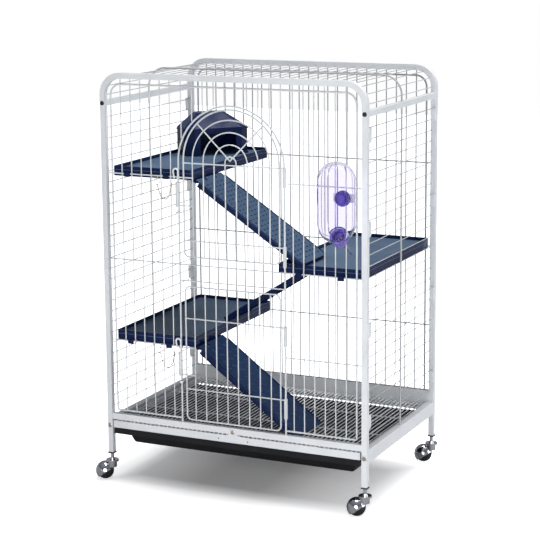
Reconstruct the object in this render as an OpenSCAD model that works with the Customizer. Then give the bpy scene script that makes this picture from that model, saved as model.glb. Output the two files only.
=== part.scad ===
/* [Frame] */
// Width over the corner tubes
cage_w = 640; // [620:5:660]
// Depth over the corner tubes
cage_d = 430; // [420:5:450]
// Height of the top tube above the floor
cage_h = 941; // [935:1:960]
// Side of the square tube
tube = 12.5; // [12:0.1:13]
// Wall of the square tube
tube_wall = 1.2; // [1:0.1:1.6]
// Outer radius of the two bends of each hoop
bend_r = 50; // [45:1:60]
// Height of the lower ends of the legs
leg_end_z = 67; // [66:0.5:69]
// Height of the middle of the upper side rails
top_rail_z = 872.5; // [866:0.5:880]
// Diameter of the frame bolts
bolt_d = 5; // [4:0.1:6]

/* [Base] */
// Height of the upper face of the lower side rails
side_rail_z = 149.5; // [149:0.1:152]
// Height of the web of the lower side rails
side_rail_h = 30; // [29:0.5:34]
// Thickness of the sheet of the rails and plates
sheet = 1.2; // [1:0.1:1.5]
// Height of the lower edge of the front rail
front_rail_z = 146.6; // [146.4:0.1:147.2]
// Height of the front rail
front_rail_h = 14; // [12:0.5:15]
// Height of the rear apron
rear_apron_h = 48; // [40:1:52]
// Distance between neighbouring grate wires
grate_pitch = 10.7; // [10:0.1:12]
// Height of the front plate of the grate
grate_plate_h = 16; // [14:0.5:17]
// Depth of the tray from its rim to its bottom
tray_depth = 42; // [38:0.5:44]
// Wall of the tray
tray_wall = 2.5; // [2:0.1:3]

/* [Grilles] */
// Diameter of the upright wires of the front and rear
upright_d = 2.6; // [2.2:0.1:3]
// Diameter of the cross wires
cross_d = 3; // [2.6:0.1:3.2]
// Diameter of the border wires, the posts and the arch
border_d = 4; // [3.6:0.1:4.4]
// Diameter of the wires of the sides and the top
side_wire_d = 2; // [1.6:0.1:2.6]
// Number of gaps between the uprights across the cage
upright_gaps = 24; // [22:2:26]
// Distance from a leg to the border wire
border_inset = 12.9; // [11:0.1:15]
// Height of the top of the border wires
border_top_z = 916; // [906:1:918]
// Height of the bottom of the border wires
border_bottom_z = 170; // [168:0.5:176]
// Height of the cross wire that holds the lower shelf
low_cross_z = 333.5; // [328:0.5:340]
// Height of the cross wire that holds the middle shelf
mid_cross_z = 521; // [516:0.5:526]
// Height of the cross wire that holds the upper shelf
high_cross_z = 716; // [710:0.5:722]
// Height of the wire between the posts above the lower door
lintel_z = 485; // [482:0.5:490]
// Distance between neighbouring wires of the sides
side_pitch = 24.69; // [24:0.1:26]

/* [Doors] */
// Radius of the fixed arch, half the distance between the posts
arch_r = 127.8; // [124:0.2:131]
// Distance from the top wire down to the top of the arch
arch_drop = 39.2; // [36:0.2:44]
// Gap between a post and the frame of a door, middle to middle
door_gap = 12.3; // [11.5:0.1:13]
// Diameter of the frame wire of the doors
door_frame_d = 3.6; // [3.2:0.1:4]
// Diameter of the hoop wires of the doors
hoop_d = 2.8; // [2.4:0.1:3]
// Distance between neighbouring uprights of the doors
hoop_pitch = 26.6; // [25.6:0.1:27.4]
// Height of the bottom of the upper door
upper_door_z = 539.5; // [536:0.5:543]
// Height of the bottom of the lower door
lower_door_z = 168.1; // [166:0.1:171]
// Height of the top of the lower door
lower_door_top_z = 472.6; // [468:0.2:476]
// Outer radius of the hinge sleeves
sleeve_r = 4; // [3.8:0.1:4.4]
// Length of the hinge sleeves
sleeve_len = 44; // [38:1:46]
// Radial clearance of every pin in its bore
pin_fit = 0.1; // [0.05:0.01:0.1]

/* [Latches] */
// Diameter of the latch pins
latch_d = 4; // [3.6:0.1:4.2]
// Outer radius of the latch sleeves
latch_sleeve_r = 4.8; // [4.6:0.1:5]
// Length of the latch sleeves
latch_sleeve_len = 52; // [46:1:54]
// Radius of the loop on a latch pin
loop_r = 6; // [5.5:0.1:6.5]
// Gap between the end of a latch pin and its keeper
keeper_gap = 2; // [1.5:0.1:3]
// Radial clearance of a latch pin in its keeper
keeper_fit = 0.7; // [0.6:0.1:0.8]
// Distance between neighbouring chain links
chain_pitch = 4.4; // [4.4:0.1:4.6]

/* [Shelves and ramps] */
// Width of a shelf
shelf_w = 198; // [190:1:200]
// Height of the skirt of a shelf
shelf_h = 22; // [20:0.5:24]
// Wall of the shelves and the ramps
shelf_wall = 3; // [2.4:0.1:3.4]
// Depth of the floor of a shelf under its rim
shelf_lip = 8; // [6:0.5:10]
// Height of the rim of the upper shelf
upper_shelf_z = 732; // [730:0.5:736]
// Height of the rim of the middle shelf
middle_shelf_z = 541; // [539:0.5:542]
// Height of the rim of the lower shelf
lower_shelf_z = 356; // [354:0.5:358]
// Width of a ramp
ramp_w = 127; // [115:1:130]
// Height of the sides of a ramp
ramp_side_h = 12; // [11:0.5:14]
// Length of the upper ramp
upper_ramp_len = 305; // [300:1:310]
// Length of the middle ramp
middle_ramp_len = 250; // [246:1:256]
// Length of the lower ramp
lower_ramp_len = 300; // [294:1:306]
// Diameter of the pins that the ramps hook on
ramp_pin_d = 6; // [5:0.1:6.4]

/* [Hut and bottle] */
// Width of the hut
hut_w = 158; // [150:1:162]
// Depth of the hut
hut_d = 95; // [90:1:98]
// Height of the hut
hut_h = 96; // [90:1:104]
// Width of the bottle
bottle_w = 83; // [76:1:86]
// Depth of the bottle
bottle_t = 54; // [48:1:58]
// Height of the bottle
bottle_h = 172; // [160:1:180]
// Radius of the clamping knob of the bottle
knob_r = 17; // [15:0.5:19]
// Diameter of the drinking spout
spout_d = 7; // [6:0.1:7.4]

/* [Casters] */
// Radius of the ball wheels
wheel_r = 19.6; // [18.6:0.1:19.8]
// Distance from the swivel axis back to the wheel
trail = 19.4; // [18.8:0.1:20]
// Diameter of the caster stems
stem_d = 7.5; // [7:0.1:8]
// Diameter of the wheel axles
axle_d = 6; // [5:0.1:7]

/* [Hidden] */
$fn = 24;

// Gap between pieces that only touch
touch = 0.05;
// Length of a sleeve beyond the wire that it is welded to
sleeve_lip = 2.3;
// Extra depth of every cutting body
over = 1;
// Gap between pieces that slide or swing past each other
clear = 0.4;

powder_white = [0.87, 0.89, 0.91];
navy = [0.08, 0.13, 0.29];
slate_blue = [0.42, 0.5, 0.62];
black = [0.07, 0.07, 0.08];
chrome = [0.8, 0.81, 0.83];
purple = [0.37, 0.31, 0.64];
brass = [0.72, 0.6, 0.33];
clear_blue = [0.9, 0.91, 0.96];

// Frame
half_w = cage_w / 2;
half_d = cage_d / 2;
leg_x = half_w - tube / 2;
leg_y = half_d - tube / 2;
inner_x = half_w - tube;
inner_y = half_d - tube;
lower_bolt_z = side_rail_z - 17.8;
bolt_reach = 4;

// Flush inner faces of the front and rear grilles
face_y = half_d - 7.3;
upright_y = face_y + upright_d / 2;
border_y = face_y + border_d / 2;
cross_y = face_y - touch - cross_d / 2;
border_x = inner_x - border_inset;
pitch = 2 * border_x / upright_gaps;
border_corner_r = 26;
cross_levels = [low_cross_z, mid_cross_z, high_cross_z];
rear_bottom_cross_z = border_bottom_z + 6.5;
arch_z = border_top_z - arch_drop - arch_r;

// Top and side panels
hoop_bend_r = bend_r - tube / 2;
hoop_z = cage_h - tube / 2;
wire_step = (border_d + side_wire_d) / 2 + touch;
bend_wires = 3;
tab_levels = [211, 411, 629, 828];

// Doors
post_y = border_y;
door_r = arch_r - door_gap;
door_arch_z = arch_z + 4.5;
door_face_y = face_y + 3.3;
door_frame_y = door_face_y - door_frame_d / 2;
door_hoop_y = door_face_y - hoop_d / 2;
bar_y = door_face_y + touch + cross_d / 2;
door_corner_r = 11;
door_hoops = 4;
upper_bars = [upper_door_z + 37, arch_z];
lower_bars = [lower_door_z + 71.6, lower_door_top_z - 71.6];

// Latches, measured from the cross wire beside each one
latch_x = -arch_r + 2.6;
latch_sleeve_x = latch_x - 1.3;
latch_y = post_y + 7.2;
latch_r = latch_d / 2;
latch_top_wire = 0.5;
latch_low_wire = -62;
latch_sleeve_top = latch_low_wire + latch_sleeve_len;
latch_end = -74;
loop_rise = 14;
latch_reach = -93.1;
link_wire = 1;
link_w = 4.2;
split_ring_r = 6.6;

// Base
rail_face_y = half_d - 1.6;
plate_face_y = half_d - 0.2;
grate_top = front_rail_z - 0.5;
grate_wire_d = 2.6;
grate_wire_z = grate_top - grate_wire_d / 2;
grate_bar_z = grate_wire_z - grate_wire_d / 2 - cross_d / 2 - touch;
grate_ledge_z = grate_bar_z - cross_d / 2;
ledge_reach = 24;
tray_ledge_z = side_rail_z - side_rail_h + sheet;
tray_x = inner_x - 4.5;
tray_rim_z = tray_ledge_z + 5.8;
tray_bottom_z = tray_rim_z - tray_depth;

// Shelves and ramps
shelf_d = 2 * (half_d - 12);
shelf_out = inner_x - 11.5;
ramp_pin_out = 5.5;
ramp_pin_drop = 4.5;
middle_pin_drop = 27;
ramp_y = shelf_wall + clear - shelf_d / 2;
middle_ramp_y = -30;
ramp_top = ramp_pin_d / 2 + 2;
ramp_under = ramp_top - ramp_side_h + 1.5;

// Hut, turned into the rear left corner of the upper shelf
hut_cut = 21;
hut_eave = hut_h * 0.64;
hut_roof_shift = 24;
hut_ledge = 1.6;
hut_reach = ((hut_w + hut_d) / 2 - hut_cut) / sqrt(2);
hut_x = shelf_wall + 6 + hut_reach - shelf_out;
hut_y = shelf_d / 2 - shelf_wall - 4 - hut_reach;

// Bottle
bottle_x = border_x - 1.25 * pitch;
bottle_y = -(half_d + 33);
bottle_z = 604.5;
bottle_wall = 2.5;
knob_z = 693.6;
spout_tilt = -34.4;
cap_r = 18.5;
cap_z = bottle_z + 7.5;
cap_y = -(half_d + 16.8);

// Casters
hood_gap = 1;
hood_wall = 1.6;
hood_r = wheel_r + hood_gap + hood_wall;
hood_tilt = 35;
hood_overlap = 6;
boss_top = 48.5;
boss_low = 31;
boss_r = 10;
boss_plate_r = 14.5;
axle_cap = 1.6;
axle_cap_r = 7;

// Centre of the whole, over the casters and the bottle
shift_x = (trail + hood_r - boss_plate_r) / 2;
shift_y = (bottle_t / 2 - bottle_y - leg_y - hood_r - axle_cap) / 2;

module placed() {
    translate([shift_x, shift_y, 0]) children();
}

module wire_x(x0, x1, y, z, d) {
    translate([x0, y, z]) rotate([0, 90, 0]) cylinder(h = x1 - x0, d = d);
}

module wire_y(x, y0, y1, z, d) {
    translate([x, y0, z]) rotate([-90, 0, 0]) cylinder(h = y1 - y0, d = d);
}

module wire_z(x, y, z0, z1, d) {
    translate([x, y, z0]) cylinder(h = z1 - z0, d = d);
}

// Part of a ring in an upright plane, from angle a0 to a1 above +X
module arc_xz(x, y, z, r, d, a0, a1) {
    translate([x, y, z]) rotate([90, 0, 0]) rotate([0, 0, a0])
        rotate_extrude(angle = a1 - a0, $fn = 64) translate([r, 0]) circle(d = d);
}

module block(x0, x1, y0, y1, z0, z1) {
    translate([x0, y0, z0]) cube([x1 - x0, y1 - y0, z1 - z0]);
}

// Outline pushed along Y from y0 to y1, its points being X and Z
module along_y(y0, y1) {
    translate([0, y1, 0]) rotate([90, 0, 0]) linear_extrude(y1 - y0) children();
}

module tube_ring() {
    difference() {
        square(tube, center = true);
        square(tube - 2 * tube_wall, center = true);
    }
}

module both_sides() {
    children();
    mirror([1, 0, 0]) children();
}

module both_ends() {
    children();
    mirror([0, 1, 0]) children();
}

// ---- frame ----

// Hoop of square tube that makes two legs and the top
module tube_hoop() {
    difference() {
        union() {
            both_sides() {
                translate([leg_x, 0, leg_end_z])
                    linear_extrude(cage_h - bend_r - leg_end_z) tube_ring();
                translate([half_w - bend_r, 0, cage_h - bend_r]) rotate([90, 0, 0])
                    rotate_extrude(angle = 90, $fn = 64)
                        translate([bend_r - tube / 2, 0]) tube_ring();
            }
            translate([bend_r - half_w, 0, cage_h - tube / 2]) rotate([0, 90, 0])
                linear_extrude(cage_w - 2 * bend_r) tube_ring();
        }
        both_sides()
            for (z = [lower_bolt_z, top_rail_z])
                wire_y(leg_x, -tube, tube, z, bolt_d + 2 * pin_fit);
    }
}

module front_frame() {
    color(powder_white) placed() translate([0, -leg_y, 0]) tube_hoop();
}

module rear_frame() {
    color(powder_white) placed() translate([0, leg_y, 0]) tube_hoop();
}

// Upper side rails, closed at both ends by plates that take the bolts
module top_side_rails() {
    color(powder_white) placed() both_sides() {
        difference() {
            union() {
                translate([leg_x, touch - inner_y, top_rail_z]) rotate([-90, 0, 0])
                    linear_extrude(2 * (inner_y - touch)) tube_ring();
                both_ends()
                    block(leg_x - tube / 2 + tube_wall / 2, leg_x + tube / 2 - tube_wall / 2,
                        inner_y - touch - bolt_reach, inner_y - touch,
                        top_rail_z - tube / 2 + tube_wall / 2, top_rail_z + tube / 2 - tube_wall / 2);
            }
            both_ends()
                wire_y(leg_x, inner_y - 2 * bolt_reach, half_d, top_rail_z, bolt_d + 2 * pin_fit);
        }
    }
}

// Lower side rail with a flange above and two ledges for grate and tray
module base_side_rail() {
    low = side_rail_z - side_rail_h;
    difference() {
        union() {
            along_y(touch - inner_y, inner_y - touch) polygon([
                [half_w, low], [half_w, side_rail_z], [half_w - 16, side_rail_z],
                [half_w - 16, side_rail_z - sheet], [half_w - sheet, side_rail_z - sheet],
                [half_w - sheet, grate_ledge_z], [half_w - ledge_reach, grate_ledge_z],
                [half_w - ledge_reach, grate_ledge_z - sheet],
                [half_w - sheet, grate_ledge_z - sheet],
                [half_w - sheet, tray_ledge_z], [half_w - ledge_reach, tray_ledge_z],
                [half_w - ledge_reach, low]
            ]);
            both_ends()
                block(inner_x, half_w - sheet / 2, inner_y - touch - bolt_reach, inner_y - touch,
                    low + sheet / 2, side_rail_z - sheet / 2);
        }
        both_ends()
            wire_y(leg_x, inner_y - 2 * bolt_reach, half_d, lower_bolt_z, bolt_d + 2 * pin_fit);
    }
}

module left_base_rail() {
    color(powder_white) placed() mirror([1, 0, 0]) base_side_rail();
}

module right_base_rail() {
    color(powder_white) placed() base_side_rail();
}

// Angle between the front legs that the posts stand on
module front_base_rail() {
    top = front_rail_z + front_rail_h;
    color(powder_white) placed() difference() {
        union() {
            block(touch - inner_x, inner_x - touch, -rail_face_y, sheet - rail_face_y,
                front_rail_z, top);
            block(touch - inner_x, inner_x - touch, -rail_face_y, -inner_y, top - sheet, top);
        }
        wire_y(0, -half_d, -inner_y, front_rail_z + 5, bolt_d - 1 + 2 * pin_fit);
    }
}

// Apron between the rear legs, with a folded top edge
module rear_base_rail() {
    top = rear_apron_top();
    color(powder_white) placed() {
        block(touch - inner_x, inner_x - touch, inner_y + 1, inner_y + 1 + sheet,
            top - rear_apron_h, top);
        block(touch - inner_x, inner_x - touch, inner_y + 1, half_d - 1, top - sheet, top);
        wire_x(clear - half_w + ledge_reach, half_w - ledge_reach - clear,
            inner_y + 1 - cross_d / 2 - touch, top - 34, cross_d);
    }
}

function rear_apron_top() = rear_bottom_cross_z - cross_d / 2 - touch;

module frame_bolt() {
    head = 2.2;
    wire_y(0, touch, tube + bolt_reach, 0, bolt_d);
    translate([0, touch, 0]) rotate([90, 0, 0]) cylinder(h = head / 2, r = bolt_d);
    translate([0, touch - head / 2, 0]) rotate([90, 0, 0])
        cylinder(h = head / 2, r1 = bolt_d, r2 = bolt_d - 1.4);
}

module bolt_row(z) {
    placed() both_ends() both_sides() translate([leg_x, -half_d - 2 * touch, z]) frame_bolt();
}

module upper_bolts() {
    color(black) bolt_row(top_rail_z);
}

module lower_bolts() {
    color(brass) bolt_row(lower_bolt_z);
}

// Plug in the end of each leg, with the socket of the caster stem
module leg_plugs() {
    plug = tube - 2 * tube_wall - 2 * touch;
    color(black) placed() both_ends() both_sides() translate([leg_x, leg_y, 0])
        difference() {
            union() {
                block(-plug / 2, plug / 2, -plug / 2, plug / 2, leg_end_z - over, leg_end_z + 30);
                block(-tube / 2 - 1.1, tube / 2 + 1.1, -tube / 2 - 1.1, tube / 2 + 1.1,
                    leg_end_z - 3, leg_end_z - touch);
            }
            wire_z(0, 0, leg_end_z - 4, leg_end_z + 26, stem_d + 2 * touch);
        }
}

// ---- top, side and rear grilles ----

// Wires from front to rear across the top and down round both bends
module top_panel() {
    flat_half = half_w - bend_r;
    count = floor(flat_half / pitch);
    inner_r = hoop_bend_r - wire_step;
    bend_z = cage_h - bend_r;
    rail_top = top_rail_z + tube / 2 + touch;
    color(powder_white) placed() {
        for (i = [-count:count])
            wire_y(i * pitch, touch - inner_y, inner_y - touch, hoop_z - wire_step, side_wire_d);
        both_sides() {
            for (i = [0:bend_wires])
                let (a = i * 90 / bend_wires)
                    wire_y(flat_half + inner_r * cos(a), touch - inner_y, inner_y - touch,
                        bend_z + inner_r * sin(a), side_wire_d);
            arc_xz(flat_half, 0, bend_z, hoop_bend_r, border_d, 0, 90);
            wire_z(leg_x, 0, rail_top, bend_z, border_d);
        }
        wire_x(-flat_half, flat_half, 0, hoop_z, border_d);
    }
}

// Wires between a front and a rear leg, with one thick upright
module side_panel() {
    low = side_rail_z + touch;
    high = top_rail_z - tube / 2 - touch;
    count = floor((high - low - 30) / side_pitch);
    wire_z(leg_x, 0, low, high, border_d);
    for (i = [0:count])
        wire_y(leg_x - wire_step, touch - inner_y, inner_y - touch,
            high - 24.5 - i * side_pitch, side_wire_d);
}

module left_side_panel() {
    color(powder_white) placed() mirror([1, 0, 0]) side_panel();
}

module right_side_panel() {
    color(powder_white) placed() side_panel();
}

// Folded tabs that clip the side grilles to the legs
module panel_tabs() {
    tab_h = 31;
    tab_reach = 9;
    fold = 7.2;
    outer = half_w + touch + sheet;
    color(powder_white) placed() both_ends() both_sides()
        for (z = tab_levels)
            difference() {
                translate([0, 0, z - tab_h / 2]) linear_extrude(tab_h) polygon([
                    [outer, leg_y + 2], [half_w + touch, leg_y + 2],
                    [half_w + touch, inner_y - tab_reach + sheet],
                    [half_w - fold, inner_y - tab_reach + sheet],
                    [half_w - fold, inner_y - tab_reach], [outer, inner_y - tab_reach]
                ]);
                translate([0, inner_y - tab_reach, z - tab_h / 2]) rotate([45, 0, 0])
                    translate([half_w - fold - over, -3, -3]) cube([fold + sheet + 3, 6, 6]);
            }
}

// Border wire with two round top corners, open at the bottom
module border_hoop(y, low) {
    both_sides() {
        wire_z(border_x, y, low, border_top_z - border_corner_r, border_d);
        arc_xz(border_x - border_corner_r, y, border_top_z - border_corner_r,
            border_corner_r, border_d, 0, 90);
    }
    wire_x(border_corner_r - border_x, border_x - border_corner_r, y, border_top_z, border_d);
}

// Upright from z0 up to the border and on to the top tube
module crossing_upright(x, y, z0) {
    wire_z(x, y, z0, border_top_z - border_d / 2 - touch, upright_d);
    wire_z(x, y, border_top_z + border_d / 2 + touch, cage_h - tube - touch, upright_d);
}

module rear_panel() {
    half_count = upright_gaps / 2 - 1;
    color(powder_white) placed() {
        border_hoop(border_y, rear_apron_top() + touch);
        for (i = [-half_count:half_count])
            crossing_upright(i * pitch, upright_y, rear_apron_top() + touch);
        for (z = [rear_bottom_cross_z, cross_levels[0], cross_levels[1], cross_levels[2]])
            wire_x(touch - inner_x, inner_x - touch, cross_y, z, cross_d);
    }
}

// ---- front grille ----

module front_border() {
    color(powder_white) placed() border_hoop(-border_y, border_bottom_z);
}

// Uprights between a leg and a post, with their own cross wires. The upper
// one starts beside whatever stands on the post
module front_bay(high_start) {
    post_edge = arch_r + border_d / 2 + touch;
    low = border_bottom_z + border_d / 2 + touch;
    for (i = [1:upright_gaps / 2])
        if (border_x - i * pitch > post_edge + pitch / 2)
            crossing_upright(border_x - i * pitch, -upright_y, low);
    wire_x(post_edge, border_x - border_d / 2 - touch, -border_y, border_bottom_z, border_d);
    wire_x(arch_r - border_d / 2, inner_x - touch, -cross_y, low_cross_z, cross_d);
    wire_x(high_start, inner_x - touch, -cross_y, high_cross_z, cross_d);
}

module front_left_bay() {
    color(powder_white) placed() mirror([1, 0, 0]) front_bay(arch_r - border_d / 2);
}

module front_right_bay() {
    color(powder_white) placed() front_bay(arch_r + sleeve_r + clear);
}

// Short uprights from the arch to the top tube
module front_top_wires() {
    outer = arch_r + border_d / 2 + touch;
    color(powder_white) placed() both_sides()
        for (i = [0:door_hoops])
            let (x = (i + 0.5) * hoop_pitch)
                if (x < arch_r - 4)
                    crossing_upright(x, -upright_y,
                        arch_z + sqrt(outer * outer - pow(x - upright_d / 2, 2)));
}

// Posts of the doorway, with the collars that carry the door sleeves
module door_posts() {
    foot = front_rail_z + front_rail_h + touch;
    collar = 2;
    color(powder_white) placed() {
        both_sides() wire_z(arch_r, -post_y, foot, arch_z - touch, border_d);
        for (z = [upper_bars[0], lower_bars[0]])
            wire_z(arch_r, -post_y, z + sleeve_lip - sleeve_len - clear - collar,
                z + sleeve_lip - sleeve_len - clear, border_d + 2.4);
    }
}

module door_arch() {
    color(powder_white) placed()
        arc_xz(0, -post_y, arch_z, arch_r, border_d, 0, 180);
}

module front_cross_wires() {
    color(powder_white) placed() {
        wire_x(touch - inner_x, inner_x - touch, -cross_y, mid_cross_z, cross_d);
        wire_x(-arch_r, arch_r, -cross_y, lintel_z, cross_d);
    }
}

// Lugs on the left post, each with a hole for the end of a latch pin
module latch_keepers() {
    plate = 3;
    color(powder_white) placed()
        for (level = [low_cross_z, high_cross_z])
            translate([0, 0, level + latch_end - keeper_gap - plate])
                difference() {
                    union() {
                        translate([latch_x, -latch_y, 0])
                            cylinder(h = plate, r = latch_r + keeper_fit + 2.4);
                        block(-arch_r - 2, latch_x + 2, -latch_y, -post_y - border_d / 2 - touch,
                            0, plate);
                    }
                    wire_z(latch_x, -latch_y, -over, plate + over, latch_d + 2 * keeper_fit);
                }
}

// ---- latch chains ----

// Oval link that lies along X, in the plane of X and Y
module chain_link(length, width, d) {
    bend = (width - d) / 2;
    run = length - width;
    both_sides() translate([run / 2, 0, 0])
        rotate([0, 0, -90]) rotate_extrude(angle = 180, $fn = 32)
            translate([bend, 0]) circle(d = d, $fn = 16);
    both_ends()
        wire_x(-run / 2, run / 2, bend, 0, d);
}

// Turn of each link from level, in degrees
chain_turns = [
    -72, -72, -72, -71, -70, -68, -60, -36, 0, 0, 36, 60, 68, 72, 74, 75, 76, 77, 78, 78
];
function chain_at(i) =
    i == 0 ? [0, 0] :
    chain_at(i - 1) + chain_pitch / 2
        * [cos(chain_turns[i - 1]) + cos(chain_turns[i]), sin(chain_turns[i - 1]) + sin(chain_turns[i])];

// Ring on the cross wire, and the chain that hangs from it towards the latch
module chain(level) {
    ring_x = min(left_hooks[1] - 18.6, latch_x - 52.9);
    ring_y = -half_d - 0.6;
    ring_z = level - 11.5;
    hook_top = [-cross_y, level];
    hook_low = [ring_y, ring_z + split_ring_r];
    hook_len = norm(hook_top - hook_low);
    hook_w = cross_d + 2 * link_wire + 0.4;
    ring_d = link_wire * 1.3;
    hook_run = [hook_w / 2, ring_d / 2 + link_wire + 0.3];
    hook_shift = (hook_run[0] - hook_run[1]) / 2;
    start = [ring_x, ring_z - split_ring_r - 1.4];
    translate([ring_x, (hook_top[0] + hook_low[0]) / 2, (hook_top[1] + hook_low[1]) / 2])
        rotate([atan2(hook_top[1] - hook_low[1], hook_top[0] - hook_low[0]), 0, 0])
            translate([0, hook_shift, 0]) rotate([0, 0, 90]) rotate([90, 0, 0])
                chain_link(hook_len + hook_run[0] + hook_run[1], hook_w, link_wire);
    arc_xz(ring_x, ring_y, ring_z, split_ring_r, ring_d, 0, 360);
    for (i = [0:len(chain_turns) - 1])
        translate([start[0] + chain_at(i)[0], ring_y, start[1] + chain_at(i)[1]])
            rotate([0, -chain_turns[i], 0]) rotate([i % 2 == 0 ? 0 : 90, 0, 0])
                chain_link(chain_pitch + 2 * link_wire + 0.3, link_w, link_wire);
}

module upper_chain() {
    color(chrome) placed() chain(high_cross_z);
}

module lower_chain() {
    color(chrome) placed() chain(low_cross_z);
}

// ---- doors ----

// Two bars across a door, each ending in a sleeve on the right post
module hinge_bars(levels) {
    for (z = levels)
        difference() {
            union() {
                wire_x(-door_r, arch_r - border_d / 2, -bar_y, z, cross_d);
                wire_z(arch_r, -post_y, z + sleeve_lip - sleeve_len, z + sleeve_lip, 2 * sleeve_r);
            }
            wire_z(arch_r, -post_y, z - sleeve_len, z + 2 * sleeve_lip, border_d + 2 * pin_fit);
        }
}

// Short wires that carry the latch sleeve and the eye above it
module latch_holder(level) {
    top = level + latch_sleeve_top;
    eye = cross_d - 0.4;
    difference() {
        union() {
            wire_x(latch_sleeve_x + 1.8, latch_reach, -bar_y, level + latch_low_wire, cross_d);
            wire_x(latch_x + 1.8, latch_reach, -bar_y, level + latch_top_wire, cross_d);
            wire_z(latch_sleeve_x, -latch_y, level + latch_low_wire - sleeve_lip, top,
                2 * latch_sleeve_r);
            wire_z(latch_x, -latch_y, level + latch_top_wire - eye / 2,
                level + latch_top_wire + eye / 2, latch_d + 2 * pin_fit + 2 * eye);
        }
        wire_z(latch_x, -latch_y, level - 90, level + 20, latch_d + 2 * pin_fit);
    }
}

// Uprights of a door from its bottom wire to z1
module door_uprights(z0, z1) {
    low = z0 + door_frame_d / 2 + touch;
    both_sides()
        for (i = [0:door_hoops - 1])
            wire_z((i + 0.5) * hoop_pitch, -door_hoop_y, low, z1, hoop_d);
}

module upper_door() {
    ray_r = door_r - door_frame_d / 2 - touch;
    color(powder_white) placed() {
        both_sides() {
            wire_z(door_r, -door_frame_y, upper_door_z + door_corner_r, door_arch_z, door_frame_d);
            arc_xz(door_r - door_corner_r, -door_frame_y, upper_door_z + door_corner_r,
                door_corner_r, door_frame_d, -90, 0);
        }
        arc_xz(0, -door_frame_y, door_arch_z, door_r, door_frame_d, 0, 180);
        wire_x(door_corner_r - door_r, door_r - door_corner_r, -door_frame_y,
            upper_door_z, door_frame_d);
        door_uprights(upper_door_z, door_arch_z);
        for (i = [0:door_hoops - 1])
            arc_xz(0, -door_hoop_y, door_arch_z, (i + 0.5) * hoop_pitch, hoop_d, 0, 180);
        hinge_bars(upper_bars);
        latch_holder(high_cross_z);
        sun_rays(ray_r);
    }
}

// Two straight rays and the small eye where they meet
module sun_rays(reach) {
    low = 5;
    both_sides() translate([0, -bar_y, door_arch_z + low]) rotate([0, 45, 0])
        cylinder(h = reach - low, d = cross_d);
    arc_xz(0, -bar_y, door_arch_z + low + 5.5, 4.4, cross_d, -25, 205);
}

module lower_door() {
    tall = lower_door_top_z - lower_door_z;
    color(powder_white) placed() {
        translate([0, 0, lower_door_z + tall / 2]) for (s = [-1, 1]) scale([1, 1, s]) {
            both_sides() {
                wire_z(door_r, -door_frame_y, 0, tall / 2 - door_corner_r, door_frame_d);
                arc_xz(door_r - door_corner_r, -door_frame_y, tall / 2 - door_corner_r,
                    door_corner_r, door_frame_d, 0, 90);
            }
            wire_x(door_corner_r - door_r, door_r - door_corner_r, -door_frame_y,
                tall / 2, door_frame_d);
        }
        door_uprights(lower_door_z, lower_door_top_z - door_frame_d / 2 - touch);
        hinge_bars(lower_bars);
        latch_holder(low_cross_z);
    }
}

// Pin bent at its top into an open loop
module latch_pin(level) {
    turn = 190;
    top = level + loop_rise;
    leg = 15;
    wire_z(latch_x, -latch_y, level + latch_end, top, latch_d);
    arc_xz(latch_x - loop_r, -latch_y, top, loop_r, latch_d, 0, turn);
    translate([latch_x - loop_r + loop_r * cos(turn), -latch_y, top + loop_r * sin(turn)])
        rotate([0, 360 - turn, 0]) translate([0, 0, -1]) cylinder(h = leg + 1, d = latch_d - 0.2);
}

module upper_latch_pin() {
    color(powder_white) placed() latch_pin(high_cross_z);
}

module lower_latch_pin() {
    color(powder_white) placed() latch_pin(low_cross_z);
}

// ---- shelves and ramps ----

// Outline of a shelf inset by a wall, with small corners in front and large ones at the rear
module shelf_plan(wall, corner) {
    x = shelf_w / 2 - wall;
    y = shelf_d / 2 - wall;
    front_r = 4 - wall / 2;
    rear_r = corner - wall;
    translate([-x, front_r - y]) square([2 * x, 2 * y - front_r - rear_r]);
    translate([front_r - x, -y]) square([2 * (x - front_r), y]);
    translate([rear_r - x, 0]) square([2 * (x - rear_r), y]);
    for (side = [-1, 1]) {
        translate([side * (x - front_r), front_r - y]) circle(r = front_r);
        translate([side * (x - rear_r), y - rear_r]) circle(r = rear_r, $fn = 48);
    }
}

// Shelf from x0 with its rim at the given height, and hooks over the cross wires
module shelf(x0, rim, level, hooks, corner) {
    low = rim - shelf_h;
    tongue_z = level + cross_d / 2 + touch;
    translate([x0 + shelf_w / 2, 0, 0]) difference() {
        translate([0, 0, low]) linear_extrude(shelf_h) shelf_plan(0, corner);
        translate([0, 0, rim - shelf_lip]) linear_extrude(shelf_lip + over)
            shelf_plan(shelf_wall, corner);
        translate([0, 0, low - over]) linear_extrude(shelf_h - shelf_lip - shelf_wall + over)
            shelf_plan(shelf_wall, corner);
    }
    both_ends() for (x = hooks) {
        block(x - 7, x + 7, shelf_d / 2 - 1, face_y + 3, tongue_z, tongue_z + shelf_wall);
        block(x - 7, x + 7, face_y + 0.2, face_y + 3, level - 6, tongue_z + 1);
    }
}

// Lugs and pin under the edge of a shelf, at x and z, over the ramp from y0
module ramp_hanger(x, z, edge_x, top, y0) {
    lug = 5;
    boss = ramp_pin_d / 2 + 1.2;
    wire_y(x, y0 + 2, y0 + ramp_w - 2, z, ramp_pin_d);
    for (y = [y0 + ramp_w * 0.3, y0 + ramp_w * 0.7 - lug]) {
        wire_y(x, y, y + lug, z, 2 * boss);
        block(min(x - boss, edge_x), max(x + boss, edge_x), y, y + lug, z, top);
    }
}

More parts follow.
